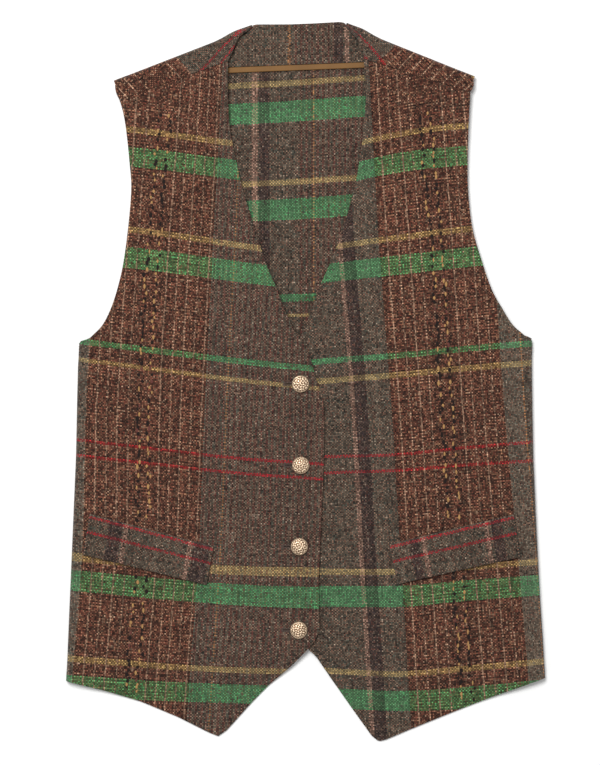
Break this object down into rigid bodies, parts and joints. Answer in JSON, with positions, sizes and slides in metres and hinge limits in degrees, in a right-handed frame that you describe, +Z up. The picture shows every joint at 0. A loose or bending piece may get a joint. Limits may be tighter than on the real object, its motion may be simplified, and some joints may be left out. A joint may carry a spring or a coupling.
{
  "type": "suit waistcoat",
  "caption": "Check tweed suit waistcoat with a V neck, a pointed front hem, pocket flaps and domed buttons, buttoned up and laid flat on its back.",
  "frame": {"origin": "middle of the outline, on the surface that the waistcoat lies on", "axes": "+X across the waistcoat to the wearer's left, +Y from the hem to the neck, +Z up from the surface, out of the front"},
  "size_m": [0.4411, 0.6629, 0.0141],
  "materials": {
    "tweed_front_right": "matt woven wool",
    "tweed_front_left": "matt woven wool",
    "tweed_back": "matt woven wool",
    "tweed_flap": "matt woven wool",
    "tweed_facing": "matt woven wool",
    "binding_tape": "smooth satin tape",
    "button_metal": "pale brushed plating"
  },
  "bodies": {
    "root": {"back": "tweed_back", "neck_facing": "tweed_facing", "neck_tape": "binding_tape", "front_left": "tweed_front_left", "front_right": "tweed_front_right", "pocket_flap_right": "tweed_flap", "pocket_flap_left": "tweed_flap", "button_1": "button_metal", "button_2": "button_metal", "button_3": "button_metal", "button_4": "button_metal"}
  },
  "joints": []
}
